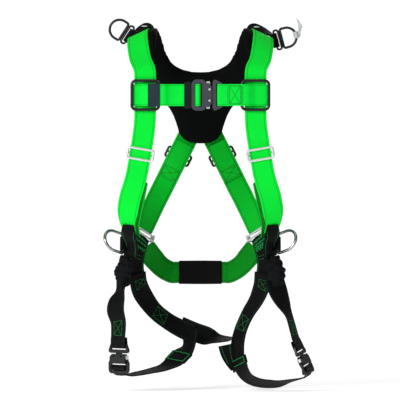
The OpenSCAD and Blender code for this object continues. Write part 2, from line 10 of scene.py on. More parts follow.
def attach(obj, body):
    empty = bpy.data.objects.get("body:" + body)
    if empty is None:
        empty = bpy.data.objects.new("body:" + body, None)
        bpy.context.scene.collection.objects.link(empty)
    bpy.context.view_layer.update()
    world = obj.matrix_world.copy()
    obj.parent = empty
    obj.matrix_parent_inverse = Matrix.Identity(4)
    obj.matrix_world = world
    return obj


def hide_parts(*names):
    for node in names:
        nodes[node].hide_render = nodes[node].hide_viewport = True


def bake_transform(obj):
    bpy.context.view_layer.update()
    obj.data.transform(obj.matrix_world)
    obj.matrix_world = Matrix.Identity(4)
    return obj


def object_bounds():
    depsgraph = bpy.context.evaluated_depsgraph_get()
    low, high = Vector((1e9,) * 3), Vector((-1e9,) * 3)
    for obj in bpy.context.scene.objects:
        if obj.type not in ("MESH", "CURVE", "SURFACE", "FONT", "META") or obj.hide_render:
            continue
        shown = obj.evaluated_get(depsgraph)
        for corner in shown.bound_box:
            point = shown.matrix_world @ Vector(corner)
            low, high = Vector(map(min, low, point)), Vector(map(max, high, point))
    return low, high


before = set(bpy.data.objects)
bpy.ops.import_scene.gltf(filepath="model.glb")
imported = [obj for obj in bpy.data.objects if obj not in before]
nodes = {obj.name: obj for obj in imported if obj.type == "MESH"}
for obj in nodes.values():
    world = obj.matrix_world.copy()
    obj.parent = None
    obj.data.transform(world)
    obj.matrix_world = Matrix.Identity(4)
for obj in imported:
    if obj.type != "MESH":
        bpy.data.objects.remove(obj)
cad_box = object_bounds()
MM = 0.001
random.seed(7)

# ---------------------------------------------------------------- straps' paths, as in the CAD
WEB_W, WEB_T = 45, 2
STRAP_X, CHEST, CHEST_Z = 114, 221, 50
BUCKLE_Y, OVER_Y = -CHEST - 10, -CHEST - 13
MAIN_Y = BUCKLE_Y + 3.6
TAIL_Y = MAIN_Y + 2.7


def side(path, s):
    return [[p[0] * s, p[1], p[2], p[3] * s, p[4], p[5]] for p in path]


SHOULDER = [
    [24, -13, 11, 0.88, 0, -0.48], [47, -13, 54, 0.88, 0, -0.48],
    [91, -18, 124, 0.9, 0, -0.42], [114, -47, 169, 0.91, 0, -0.41],
    [129, -103, 182, 0.91, 0, -0.42], [131, -150, 163, 0.93, 0, -0.35],
    [125, -194, 127, 0.98, 0, -0.1], [116, -216, 105, 1, 0, 0],
    [STRAP_X, -CHEST, 82, 1, 0, 0], [STRAP_X, -CHEST, 50, 1, 0, 0],
    [STRAP_X, -CHEST, 18, 1, 0, 0], [STRAP_X + 1, -CHEST, -8, 1, 0, 0],
    [117.3, -CHEST, -30, 1, 0, 0.1], [120.4, -CHEST, -51, 1, 0, 0.19],
    [124, -CHEST, -72, 1, 0, 0.17], [127.6, -CHEST, -93, 1, 0, 0.17],
    [131.2, -CHEST, -113, 1, 0, 0.17], [137, -218, -134, 1, 0, 0.19],
    [145, -211, -160, 1, 0.1, 0.15], [151, -199, -192, 0.95, 0.3, 0.1],
    [151, -186, -216, 0.9, 0.45, 0], [144, -175, -236, 0.85, 0.5, -0.1],
]
TAIL = [
    [137, -160, -236, 0.45, 0.85, -0.2], [134, -170, -214, 0.35, 0.9, -0.1],
    [128, -182, -188, 0.3, 0.95, 0], [121, -192, -158, 0.3, 0.95, 0],
    [115, -198, -128, 0.3, 0.95, 0],
]
RETURN = [
    [33, -25, -47, 0.89, 0, 0.45], [40, -25.5, -60.5, 0.89, 0, 0.45],
    [46.7, -25.5, -74, 0.89, 0, 0.45], [53.5, -25, -87.5, 0.89, 0, 0.45],
    [60.2, -22.5, -101, 0.89, 0, 0.45], [70.5, -21.8, -121.5, 0.88, 0, 0.45],
]
BACK = [
    [20.6, -17, -22, 0.89, 0, 0.45], [33.2, -17, -47, 0.89, 0, 0.45],
    [46.7, -17, -74, 0.89, 0, 0.45], [60.2, -17, -101, 0.89, 0, 0.45],
    [76, -20, -133, 0.87, -0.05, 0.44], [93, -43, -167, 0.85, -0.2, 0.45],
    [107, -79, -199, 0.75, -0.4, 0.45], [115, -106, -222, 0.6, -0.6, 0.4],
    [117, -112, -234, 0.55, -0.7, 0.35],
]
SEAT = [
    [-116, -99, -266, 0.3, -0.4, 0.85], [-101, -80, -286, 0.3, -0.3, 0.9],
    [-82, -58, -307, 0.2, 0, 1], [-62, -44.4, -318.6, 0, 0, 1], [-50, -44, -319, 0, 0, 1],
    [-25, -44, -319, 0, 0, 1], [0, -44, -319, 0, 0, 1], [25, -44, -319, 0, 0, 1],
    [50, -44, -319, 0, 0, 1], [62, -44.4, -318.6, 0, 0, 1], [82, -58, -307, -0.2, 0, 1],
    [101, -80, -286, -0.3, -0.3, 0.9], [116, -99, -266, -0.3, -0.4, 0.85],
]
HIP = [
    [119.4, -115.5, -241.5, 0.55, -0.7, 0.35], [127, -124, -262, 0.6, -0.7, 0.3],
    [133, -131, -286, 0.65, -0.7, 0.2], [135, -132, -311, 0.7, -0.65, 0.2],
    [132, -128, -334, 0.72, -0.62, 0.3],
]
HIP_FRONT = [
    [150, -189.5, -218, 0.78, 0.06, 0.6], [149, -183, -240, 0.7, 0.5, 0.35],
    [143, -177, -262, 0.55, 0.8, 0.1], [146, -172, -286, 0.6, 0.78, 0],
]
LEFT_AT, RIGHT_AT = (-168.5, -195, -509), (220, -195, -510)
LEFT_YAW, RIGHT_YAW, RIGHT_LEAN = -49, 70, -24


def turn_y(a, p):
    c, s = math.cos(math.radians(a)), math.sin(math.radians(a))
    return [p[0] * c + p[2] * s, p[1], p[2] * c - p[0] * s]


def turn_z(a, p):
    c, s = math.cos(math.radians(a)), math.sin(math.radians(a))
    return [p[0] * c - p[1] * s, p[0] * s + p[1] * c, p[2]]


def leg_turn(s, p):
    if s < 0:
        return turn_z(LEFT_YAW, turn_y(-90, p))
    return turn_y(RIGHT_LEAN, turn_z(RIGHT_YAW, turn_y(-90, p)))


def leg_stations(s, points, z):
    w = leg_turn(s, [0, 0, z])
    at = LEFT_AT if s < 0 else RIGHT_AT
    return [[a + b for a, b in zip(at, leg_turn(s, [x, y, 0]))] + w for x, y in points]


TONGUE_TURN = [
    (62, -2.6), (54, -3.3), (46, -3.5), (40, -3.6), (36.6, -2.8), (35.6, 0), (36.6, 2.6),
    (40, 3.6), (48, 3.4), (58, 2.4),
]
ROLLER_TURN = [
    (-20, 8.5), (-17.5, 4.9), (-13.5, 3.6), (-10.6, 2.4), (-9.8, 0), (-8.3, -3.6), (-4.8, -4.8),
    (-1.4, -3.4), (0, 0), (-1.4, 3.4), (-5, 5.4), (-10, 7), (-14, 8),
]
LEG_STRAP_L = [
    [-131, -133, -320, 0.72, 0.62, 0.3], [-128, -127, -345, 0.75, 0.6, 0.35],
    [-117, -110, -369, 0.7, 0.6, 0.5], [-95, -92, -399, 0.5, 0.7, 0.6],
    [-68, -80, -421, 0.4, 0.7, 0.7],
    [-42, -76, -436, 0.3, 0.6, 0.8], [-16, -78, -447, 0.25, 0.5, 0.85],
]
LEG_LOWER_L = [
    [-22, -84, -446, -0.6, 0.5, -0.6], [-22, -98, -464, -0.7, 0.5, -0.5],
    [-37, -122, -486, -0.7, 0.5, 0.2], [-54, -146, -503, -0.4, 0.8, 0.4],
    [-76, -163, -515, 0, 0.95, 0.3], [-104, -174, -522, 0, 0.97, 0.2],
    [-130, -181, -527, -0.3, 0.9, 0.1], [-150, -185, -530, -0.55, 0.8, 0],
] + leg_stations(-1, ROLLER_TURN, 1)
LEG_FRONT_L = [
    [-158, -176, -332, 0.7, -0.7, 0], [-166, -184, -352, 0.35, -0.9, 0],
    [-173, -191, -373, 0.7, -0.7, 0], [-176, -194, -395, 0.78, -0.6, 0],
    [-170, -197, -420, 0.7, -0.7, 0],
] + leg_stations(-1, TONGUE_TURN, -1)
LEG_STRAP_R = [
    [131, -133, -320, 0.72, -0.62, 0.3], [128, -128, -345, 0.7, -0.65, 0.3],
    [117, -119, -374, 0.65, -0.7, 0.3],
    [99, -108, -405, 0.6, -0.75, 0.2], [85, -104, -437, 0.6, -0.8, 0.1],
    [78, -106, -468, 0.6, -0.8, 0], [78, -114, -498, 0.6, -0.8, 0],
    [82, -122, -520, 0.6, -0.8, 0],
]
LEG_LOWER_R = [
    [80, -126, -496, 0.6, -0.8, 0.05], [84, -130, -512, 0.6, -0.78, 0.15],
    [93, -137, -529, 0.4, -0.8, 0.4], [109, -146, -542, 0.1, -0.85, 0.45],
    [132, -157, -548, 0, -0.9, 0.4], [158, -168, -548, 0, -0.92, 0.35],
    [184, -178, -542, -0.1, -0.95, 0.15], [206, -186, -537, -0.3, -0.94, 0],
] + leg_stations(1, ROLLER_TURN, 1)
LEG_FRONT_R = [
    [154, -178, -332, 0.85, 0.3, -0.3], [162, -183, -358, 0.85, 0.3, -0.4],
    [173, -187, -384, 0.7, 0.5, -0.45], [185, -191, -410, 0.4, 0.85, -0.2],
    [192, -194, -434, 0.31, 0.94, 0.1],
] + leg_stations(1, TONGUE_TURN, -1)
CROSS = [
    [-44, -69, -430, 0.3, 0.5, 0.8], [-14, -71, -443, 0.25, 0.5, 0.85],
    [12, -72, -452, 0.2, 0.5, 0.8], [34, -78, -458, 0.1, 0.9, 0.4], [54, -86, -459, 0, 1, 0.2],
    [68, -92, -458, 0, 1, 0.1],
]
FLAP = [
    [52, -110, -470, 0.9, 0.1, 0.2], [56, -112, -488, 0.9, 0.1, 0.1],
    [62, -115, -505, 0.9, 0.1, 0], [69, -118, -522, 0.9, 0.1, 0],
]
SHOULDER_RINGS = [((-161, -78, 185.5), 33, -1), ((171, -78, 172), -15, 1)]
ARCH = [
    [[-98, -86, 182, 0, 0.85, 0.52], [-100, -86, 189, 0, 0.8, 0.6],
     [-107, -86, 194.5, 0, 0.78, 0.62], [-117, -85, 195, 0, 0.78, 0.62],
     [-128, -83, 191, 0, 0.88, 0.48], [-137.5, -80, 185, 0, 0.95, 0.3]],
    [[98, -86, 181, 0, 0.85, 0.52], [100, -86, 188, 0, 0.8, 0.6],
     [107, -86, 193.5, 0, 0.78, 0.62], [118, -85, 193.5, 0, 0.78, 0.62],
     [134, -82, 188, 0, 0.88, 0.48], [148, -80, 180.5, 0, 0.95, 0.3]],
]


def chest_level(points):
    return [[x, y, CHEST_Z, 0, 0, 1] for x, y in points]


def wrap_end(s):
    c = -CHEST
    return [(s * x, y) for x, y in (
        (98, OVER_Y + 1), (112, c - 5.4), (126, c - 4), (135, c - 3.4), (140, c - 1.6),
        (141.5, c + 2), (139, c + 5.4), (130, c + 6.6), (112, c + 7), (96, c + 5))]


CHEST_LEFT = chest_level(
    [(-64, TAIL_Y), (-50, TAIL_Y), (-36, TAIL_Y), (-20, TAIL_Y), (-11, TAIL_Y - 0.2),
     (-5, BUCKLE_Y + 5.2), (-1.4, BUCKLE_Y + 3.4), (0, BUCKLE_Y), (-1.4, BUCKLE_Y - 3.4),
     (-4.8, BUCKLE_Y - 4.8), (-8.3, BUCKLE_Y - 3.6), (-9.8, BUCKLE_Y),
     (-10.6, BUCKLE_Y + 2.4), (-13.5, MAIN_Y), (-20, MAIN_Y), (-36, MAIN_Y), (-50, MAIN_Y),
     (-64, MAIN_Y - 2), (-74, OVER_Y), (-86, OVER_Y), (-98, OVER_Y), (-109, OVER_Y),
     (-118, -CHEST - 8.6)] + wrap_end(-1)[2:])
CHEST_RIGHT = chest_level(
    [(58, BUCKLE_Y + 1.6), (48, BUCKLE_Y + 3.4), (40, BUCKLE_Y + 3.6), (36.6, BUCKLE_Y + 2.6),
     (35.6, BUCKLE_Y), (36.6, BUCKLE_Y - 2.8), (40, BUCKLE_Y - 3.6), (48, BUCKLE_Y - 3.4),
     (60, OVER_Y + 0.2), (74, OVER_Y), (86, OVER_Y)] + wrap_end(1))

SIDE_RING = Vector((161, -157, -258))
SIDE_BAR = Vector((0, 0.5, 0.866)).normalized()
SIDE_BOW = Vector((0.8, -0.5, 0.3))
SIDE_BOW = (SIDE_BOW - SIDE_BAR * SIDE_BOW.dot(SIDE_BAR)).normalized()


def tab_path(s):
    out = []
    for a, b in ((-15, 4.4), (-9, 5), (-2, 5.2), (4, 3.6), (5.4, 0), (4, -3.6), (-2, -5.2),
                 (-9, -5), (-15, -4.4)):
        c = SIDE_RING + SIDE_BOW * a + SIDE_BAR.cross(SIDE_BOW) * b
        out.append([s * c.x, c.y, c.z, s * SIDE_BAR.x, SIDE_BAR.y, SIDE_BAR.z])
    return out


# ---------------------------------------------------------------- material helpers
def tree(name):
    m = bpy.data.materials.new(name)
    m.use_nodes = True
    t = m.node_tree
    return m, t, t.nodes["Principled BSDF"]


def node(t, kind, **values):
    n = t.nodes.new(kind)
    for k, v in values.items():
        if k in n.inputs:
            n.inputs[k].default_value = v
        else:
            setattr(n, k, v)
    return n


def math_node(t, op, a, b=None, c=None, clamp=False):
    n = t.nodes.new("ShaderNodeMath")
    n.operation = op
    n.use_clamp = clamp
    for i, v in enumerate((a, b, c)):
        if v is None:
            continue
        if isinstance(v, (int, float)):
            n.inputs[i].default_value = v
        else:
            t.links.new(v, n.inputs[i])
    return n.outputs[0]


def mix_colour(t, fac, a, b):
    n = t.nodes.new("ShaderNodeMix")
    n.data_type = "RGBA"
    if isinstance(fac, (int, float)):
        n.inputs[0].default_value = fac
    else:
        t.links.new(fac, n.inputs[0])
    for i, v in ((6, a), (7, b)):
        if isinstance(v, tuple):
            n.inputs[i].default_value = (*v, 1)
        else:
            t.links.new(v, n.inputs[i])
    return n.outputs[2]


def bump(t, bsdf, height, strength, distance):
    n = node(t, "ShaderNodeBump")
    n.inputs["Strength"].default_value = strength
    n.inputs["Distance"].default_value = distance
    t.links.new(height, n.inputs["Height"])
    t.links.new(n.outputs[0], bsdf.inputs["Normal"])


def noise_value(t, scale, detail=2.0, vector=None):
    n = node(t, "ShaderNodeTexNoise")
    n.inputs["Scale"].default_value = scale
    n.inputs["Detail"].default_value = detail
    if vector is None:
        vector = node(t, "ShaderNodeTexCoord").outputs["Object"]
    t.links.new(vector, n.inputs["Vector"])
    return n.outputs[0]


def band(t, value, centre, half, soft):
    """1 where |value - centre| < half, falling to 0 over soft."""
    d = math_node(t, "ABSOLUTE", math_node(t, "SUBTRACT", value, centre))
    return math_node(t, "SUBTRACT", 1.0,
                     math_node(t, "DIVIDE", math_node(t, "SUBTRACT", d, half), soft, clamp=True))


# The weave's own sizes, in metres: the rows of its chevrons, how far each leans, and its yarns
ROW_W, ROW_LEAN, YARN_W = 0.0058, 0.0062, 0.0011


def webbing_material(name, base, dark, line=None, line_at=0.0, rib=0.0014, gloss=0.66, sheen=0.02):
    """Woven webbing: chevron ribs along it, yarns across it, and lines near both edges; the low parts
    of the weave are painted darker as painted shade, with random tone on top.
    """
    m, t, bsdf = tree(name)
    uv = node(t, "ShaderNodeUVMap")
    uv.uv_map = "UVMap"
    sep = node(t, "ShaderNodeSeparateXYZ")
    t.links.new(uv.outputs[0], sep.inputs[0])
    u, v = sep.outputs[0], sep.outputs[1]
    rows = math_node(t, "ABSOLUTE", math_node(t, "SUBTRACT", math_node(
        t, "FRACT", math_node(t, "DIVIDE", u, ROW_W)), 0.5))
    slant = math_node(t, "ADD", v, math_node(t, "MULTIPLY", rows, ROW_LEAN))
    ribs = math_node(t, "MULTIPLY_ADD", math_node(
        t, "SINE", math_node(t, "MULTIPLY", slant, 2 * math.pi / rib)), 0.5, 0.5)
    yarn = math_node(t, "MULTIPLY_ADD", math_node(
        t, "SINE", math_node(t, "MULTIPLY", u, 2 * math.pi / YARN_W)), 0.5, 0.5)
    grooves = math_node(t, "SUBTRACT", 1.0, math_node(
        t, "MULTIPLY", math_node(t, "SUBTRACT", 0.12, rows, clamp=True), 4.0, clamp=True))
    height = math_node(t, "ADD", math_node(t, "MULTIPLY", ribs, 0.6), math_node(
        t, "ADD", math_node(t, "MULTIPLY", yarn, 0.15), math_node(t, "MULTIPLY", grooves, 0.3)))
    # Painted shade: the lower the weave's height, the more of the dark colour, plus random tone from
    # noise.
    painted_groove_shade_and_tone = math_node(t, "MULTIPLY_ADD", math_node(t, "SUBTRACT", 1.0, height), 0.45,
                      math_node(t, "MULTIPLY", noise_value(t, 34.0, 3.0), 0.35), clamp=True)
    colour = mix_colour(t, painted_groove_shade_and_tone, base, dark)
    if line:
        edge = band(t, math_node(t, "ABSOLUTE", u), line_at, 0.0006, 0.0007)
        dash = math_node(t, "MULTIPLY_ADD", math_node(
            t, "SINE", math_node(t, "MULTIPLY", v, 2 * math.pi / 0.0042)), 0.25, 0.75)
        colour = mix_colour(t, math_node(t, "MULTIPLY", edge, dash), colour, line)
    t.links.new(colour, bsdf.inputs["Base Color"])
    rough = math_node(t, "MULTIPLY_ADD", noise_value(t, 300.0, 2.0), 0.18, gloss - 0.09)
    t.links.new(rough, bsdf.inputs["Roughness"])
    bsdf.inputs["Sheen Weight"].default_value = sheen
    bsdf.inputs["Sheen Roughness"].default_value = 0.5
    bsdf.inputs["Specular IOR Level"].default_value = 0.08
    bump(t, bsdf, height, 0.55, 0.0004)
    return m


def metal_material(name, colour, dark, rough, metallic=1.0, grain=260.0, coat=0.0):
    """Metal with fine grain, handling marks and a slightly uneven tone."""
    m, t, bsdf = tree(name)
    tex = node(t, "ShaderNodeTexCoord")
    stretch = node(t, "ShaderNodeMapping")
    stretch.inputs["Scale"].default_value = (1.0, 0.35, 1.0)
    t.links.new(tex.outputs["Object"], stretch.inputs["Vector"])
    fine = noise_value(t, grain * 4, 3.0, stretch.outputs[0])
    patch = noise_value(t, 45.0, 4.0)
    scratch = node(t, "ShaderNodeTexVoronoi", feature="DISTANCE_TO_EDGE")
    scratch.inputs["Scale"].default_value = 90.0
    t.links.new(stretch.outputs[0], scratch.inputs["Vector"])
    mark = math_node(t, "LESS_THAN", scratch.outputs["Distance"], 0.012)
    fac = math_node(t, "ADD", math_node(t, "MULTIPLY", patch, 0.6),
                    math_node(t, "MULTIPLY", mark, 0.25), clamp=True)
    t.links.new(mix_colour(t, fac, colour, dark), bsdf.inputs["Base Color"])
    r = math_node(t, "ADD", math_node(t, "MULTIPLY_ADD", patch, 0.16, rough - 0.08),
                  math_node(t, "MULTIPLY", mark, 0.1), clamp=True)
    t.links.new(r, bsdf.inputs["Roughness"])
    bsdf.inputs["Metallic"].default_value = metallic
    bsdf.inputs["Coat Weight"].default_value = coat
    bsdf.inputs["Coat Roughness"].default_value = 0.25
    bump(t, bsdf, math_node(t, "ADD", fine, math_node(t, "MULTIPLY", mark, -0.4)), 0.12, 0.0003)
    return m


def mesh_cloth_material(name, colour, light, cell=900.0, sheen=0.0):
    """Padded cloth: a fine open mesh with soft wear and creases."""
    m, t, bsdf = tree(name)
    cells = node(t, "ShaderNodeTexVoronoi", feature="F1")
    cells.inputs["Scale"].default_value = cell
    t.links.new(node(t, "ShaderNodeTexCoord").outputs["Object"], cells.inputs["Vector"])
    hole = math_node(t, "MULTIPLY", cells.outputs["Distance"], 1.3, clamp=True)
    worn = noise_value(t, 22.0, 5.0)
    fac = math_node(t, "ADD", math_node(t, "MULTIPLY", hole, 0.35), math_node(
        t, "MULTIPLY", math_node(t, "SUBTRACT", worn, 0.35, clamp=True), 0.9), clamp=True)
    t.links.new(mix_colour(t, fac, colour, light), bsdf.inputs["Base Color"])
    t.links.new(math_node(t, "MULTIPLY_ADD", worn, 0.2, 0.62), bsdf.inputs["Roughness"])
    bsdf.inputs["Sheen Weight"].default_value = sheen
    bsdf.inputs["Specular IOR Level"].default_value = 0.05
    bump(t, bsdf, math_node(t, "ADD", math_node(t, "MULTIPLY", hole, 0.5), worn), 0.3, 0.0005)
    return m


def thread_material(name, colour, dark):
    m, t, bsdf = tree(name)
    twist = noise_value(t, 1400.0, 2.0)
    t.links.new(mix_colour(t, twist, colour, dark), bsdf.inputs["Base Color"])
    t.links.new(math_node(t, "MULTIPLY_ADD", twist, 0.2, 0.5), bsdf.inputs["Roughness"])
    bump(t, bsdf, twist, 0.3, 0.0002)
    return m


GREEN = webbing_material("green_webbing_cloth", (0.0, 0.88, 0.05), (0.0, 0.66, 0.02),
                         (0.0, 0.42, 0.03), 0.0178)
# A darker copy of the green webbing for the tail, back and back-return straps: painted shade, as
# these straps lie in shade behind and inside the harness.
GREEN_PAINTED_SHADE = webbing_material("green_webbing_painted_shade", (0.0, 0.55, 0.026), (0.0, 0.36, 0.014),
                               (0.0, 0.16, 0.012), 0.0178)
# A much darker copy of the green webbing for the seat strap: painted shade, as the strap runs in
# shade under the body at the back.
GREEN_SEAT_PAINTED_SHADE = webbing_material("green_webbing_seat_painted_shade", (0.0, 0.27, 0.01), (0.0, 0.17, 0.006),
                              (0.0, 0.1, 0.008), 0.0178)
GREEN_CHEST = webbing_material("green_webbing_chest", (0.0, 0.88, 0.06), (0.0, 0.62, 0.025),
                               (0.0, 0.52, 0.03), 0.0195)
BLACK = webbing_material("black_webbing_cloth", (0.0036, 0.0038, 0.0044), (0.001, 0.001, 0.0013),
                         (0.003, 0.02, 0.008), 0.0195, gloss=0.6, sheen=0.01)
ELASTIC = webbing_material("slate_elastic", (0.026, 0.045, 0.058), (0.008, 0.016, 0.022),
                           rib=0.0022, gloss=0.7)
RIBBED = webbing_material("ribbed_sleeve", (0.014, 0.017, 0.021), (0.004, 0.005, 0.006),
                          rib=0.0026, gloss=0.7)
SLEEVE = webbing_material("black_sleeve_cloth", (0.002, 0.0021, 0.0024), (0.0008, 0.0008, 0.001),
                          rib=0.002, gloss=0.65)
PAD = mesh_cloth_material("pad_cloth", (0.0012, 0.0012, 0.0014), (0.0042, 0.0045, 0.005))
BUNCH = mesh_cloth_material("bunched_cloth", (0.002, 0.002, 0.0024), (0.012, 0.013, 0.015), 700.0)
THREAD = thread_material("green_thread", (0.0, 0.34, 0.06), (0.0, 0.2, 0.03))
THREAD_BRIGHT = thread_material("bright_green_thread", (0.0, 0.75, 0.16), (0.0, 0.45, 0.08))
THREAD_DARK = thread_material("dark_green_thread", (0.0, 0.22, 0.025), (0.0, 0.12, 0.012))
THREAD_BLACK = thread_material("black_thread", (0.012, 0.012, 0.014), (0.004, 0.004, 0.005))
GUNMETAL = metal_material("gunmetal_coat", (0.105, 0.115, 0.135), (0.06, 0.066, 0.078), 0.42, 0.85)
BLACK_METAL = metal_material("black_coat", (0.006, 0.0068, 0.0076), (0.003, 0.0033, 0.0036), 0.36,
                             0.2, coat=0.1)
STEEL = metal_material("bright_steel_wire", (0.8, 0.81, 0.82), (0.6, 0.61, 0.62), 0.34, 0.45)
CHROME = metal_material("plated_steel", (0.44, 0.46, 0.46), (0.26, 0.28, 0.28), 0.24)


# ---------------------------------------------------------------- webbing in mesh code
def smooth(path, n):
    out = []
    for i in range(len(path) - 1):
        a, b = path[max(i - 1, 0)], path[i]
        c, d = path[i + 1], path[min(i + 2, len(path) - 1)]
        for k in range(n):
            t = k / n
            out.append([0.5 * (2 * b[j] + (c[j] - a[j]) * t
                               + (2 * a[j] - 5 * b[j] + 4 * c[j] - d[j]) * t * t
                               + (3 * b[j] - a[j] - 3 * c[j] + d[j]) * t ** 3) for j in range(6)])
    out.append(list(path[-1]))
    return out


class Strip:
    """A ribbon's centre-line with its width and outward directions at each sample."""

    def __init__(self, path, steps, square=True):
        pts = smooth(path, steps)
        last = len(pts) - 1
        self.c = [Vector(p[:3]) * MM for p in pts]
        self.w, self.n, self.s = [], [], [0.0]
        for i, p in enumerate(pts):
            along = (self.c[min(i + 1, last)] - self.c[max(i - 1, 0)]).normalized()
            w = Vector(p[3:])
            if square:
                w = w - along * w.dot(along)
            w.normalize()
            self.w.append(w)
            self.n.append(along.cross(w).normalized())
            if i:
                self.s.append(self.s[-1] + (self.c[i] - self.c[i - 1]).length)

    def at(self, u, s, lift):
        """The point u across and s along, both in metres, lifted off the middle plane."""
        s = max(0.0, min(s, self.s[-1]))
        i = max(1, next((k for k, x in enumerate(self.s) if x >= s), len(self.s) - 1))
        f = (s - self.s[i - 1]) / max(self.s[i] - self.s[i - 1], 1e-9)
        c = self.c[i - 1].lerp(self.c[i], f)
        w = self.w[i - 1].lerp(self.w[i], f).normalized()
        n = self.n[i - 1].lerp(self.n[i], f).normalized()
        return c + w * u + n * lift

    def where(self, axis, value, start=0):
        """How far along the strip first passes value on an axis, after a sample."""
        for i in range(start + 1, len(self.c)):
            a, b = self.c[i - 1][axis], self.c[i][axis]
            if (a - value) * (b - value) <= 0 and a != b:
                return self.s[i - 1] + (self.s[i] - self.s[i - 1]) * (value - a) / (b - a)
        raise ValueError(f"the strip never passes {value} on axis {axis}")


def add_mesh(name, verts, faces, uvs, material, body, replaces=()):
    me = bpy.data.meshes.new(name)
    me.from_pydata(verts, [], faces)
    if uvs is not None:
        layer = me.uv_layers.new(name="UVMap")
        for loop in me.loops:
            layer.data[loop.index].uv = uvs[loop.vertex_index]
    bm = bmesh.new()
    bm.from_mesh(me)
    bmesh.ops.recalc_face_normals(bm, faces=bm.faces)
    bm.to_mesh(me)
    bm.free()
    for p in me.polygons:
        p.use_smooth = True
    o = bpy.data.objects.new(name, me)
    bpy.context.scene.collection.objects.link(o)
    me.materials.append(material)
    if body:
        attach(o, body)
    if replaces:
        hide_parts(*replaces)
    return o


# Across the webbing: share of the half width, and share of the half thickness
PROFILE = ((-1, 0.4), (-0.985, 0.85), (-0.94, 1), (-0.8, 0.95), (-0.45, 1), (0, 1), (0.45, 1),
           (0.8, 0.95), (0.94, 1), (0.985, 0.85), (1, 0.4))


def ribbon(name, path, material, body="harness", width=WEB_W, thick=WEB_T, steps=8,
           replaces=(), widths=None, square=True, seed=0, wobble=0.12):
    strip = Strip(path, steps, square)
    verts, uvs, faces = [], [], []
    total = strip.s[-1]
    for i, c in enumerate(strip.c):
        s = strip.s[i]
        half = width / 2 * MM * (widths(s / total) if widths else 1)
        shake = noise.noise(Vector((s * 55, seed * 3.1, 0))) * wobble * MM
        drift = noise.noise(Vector((s * 30, 7 + seed * 1.7, 0))) * wobble * 1.5 * MM
        for sign in (1, -1):
            for a, b in PROFILE[::sign]:
                verts.append(c + strip.w[i] * (a * half + drift)
                             + strip.n[i] * (sign * b * thick / 2 * MM + shake))
                uvs.append((a * half, s))
    n = 2 * len(PROFILE)
    for i in range(len(strip.c) - 1):
        for k in range(n):
            a, b = i * n + k, i * n + (k + 1) % n
            faces.append((a, b, b + n, a + n))
    for start in (0, (len(strip.c) - 1) * n):
        for k in range(len(PROFILE) - 1):
            faces.append((start + k, start + k + 1, start + n - 2 - k, start + n - 1 - k))
    return add_mesh(name, verts, faces, uvs, material, body, replaces), strip


def stitches(name, strip, lines, material, body="harness", thick=WEB_T, pitch=3.0, yarn=0.45,
             faces_on=(1, -1)):
    """Thread laid on a strip along lines of (u, s) in millimetres: one bead for each stitch."""
    verts, faces = [], []
    for line in lines:
        for (u0, s0), (u1, s1) in zip(line, line[1:]):
            length = math.hypot(u1 - u0, s1 - s0)
            count = max(1, round(length / pitch))
            for k in range(count):
                f0, f1 = (k + 0.08) / count, (k + 0.92) / count
                for face in faces_on:
                    lift = face * (thick / 2 + yarn * 0.35) * MM
                    a = strip.at((u0 + (u1 - u0) * f0) * MM, (s0 + (s1 - s0) * f0) * MM, lift)
                    b = strip.at((u0 + (u1 - u0) * f1) * MM, (s0 + (s1 - s0) * f1) * MM, lift)
                    mid = strip.at((u0 + (u1 - u0) * (f0 + f1) / 2) * MM,
                                   (s0 + (s1 - s0) * (f0 + f1) / 2) * MM, lift * 1.25)
                    bead(verts, faces, a, mid, b, yarn * MM)
    return add_mesh(name, verts, faces, None, material, body)


def bead(verts, faces, a, mid, b, r):
    """A short length of thread from a over mid to b."""
    along = (b - a).normalized()
    x = along.orthogonal().normalized()
    y = along.cross(x)
    base = len(verts)
    verts.append(a - along * r * 0.3)
    for centre, size in ((a.lerp(mid, 0.25), 0.8), (mid, 1.0), (b.lerp(mid, 0.25), 0.8)):
        for k in range(6):
            t = k * math.pi / 3
            verts.append(centre + (x * math.cos(t) + y * math.sin(t)) * r * size)
    verts.append(b + along * r * 0.3)
    for k in range(6):
        m = (k + 1) % 6
        faces.append((base, base + 1 + m, base + 1 + k))
        for ring in (0, 6):
            faces.append((base + 1 + ring + k, base + 1 + ring + m, base + 7 + ring + m,
                          base + 7 + ring + k))
        faces.append((base + 13 + k, base + 13 + m, base + 19))


def box_x(u0, u1, s0, s1):
    return [[(u0, s0), (u1, s0), (u1, s1), (u0, s1), (u0, s0)], [(u0, s0), (u1, s1)],
            [(u1, s0), (u0, s1)]]


def bar_tack(u0, u1, s, deep=4.0, count=11):
    """A dense zigzag across the webbing."""
    return [[(u0 + (u1 - u0) * k / count, s + (deep if k % 2 else 0)) for k in range(count + 1)]]


def tube(name, points, radius, material, body, sides=12, closed=False, flat=1.0):
    """A round rod along points in metres."""
    pts = [Vector(p) for p in points]
    n = len(pts)
    verts, faces = [], []
    ref = None
    for i, p in enumerate(pts):
        a = pts[(i - 1) % n] if closed or i else p
        b = pts[(i + 1) % n] if closed or i < n - 1 else p
        along = (b - a).normalized()
        x = along.orthogonal() if ref is None else ref - along * ref.dot(along)
        x.normalize()
        ref = x
        y = along.cross(x)
        for k in range(sides):
            t = 2 * math.pi * k / sides
            verts.append(p + x * math.cos(t) * radius + y * math.sin(t) * radius * flat)
    for i in range(n if closed else n - 1):
        for k in range(sides):
            a, b = i * sides + k, i * sides + (k + 1) % sides
            c, d = (b + sides) % len(verts), (a + sides) % len(verts)
            faces.append((a, b, c, d))
    if not closed:
        faces.append(tuple(range(sides))[::-1])
        faces.append(tuple(len(verts) - sides + k for k in range(sides)))
    return add_mesh(name, verts, faces, None, material, body)


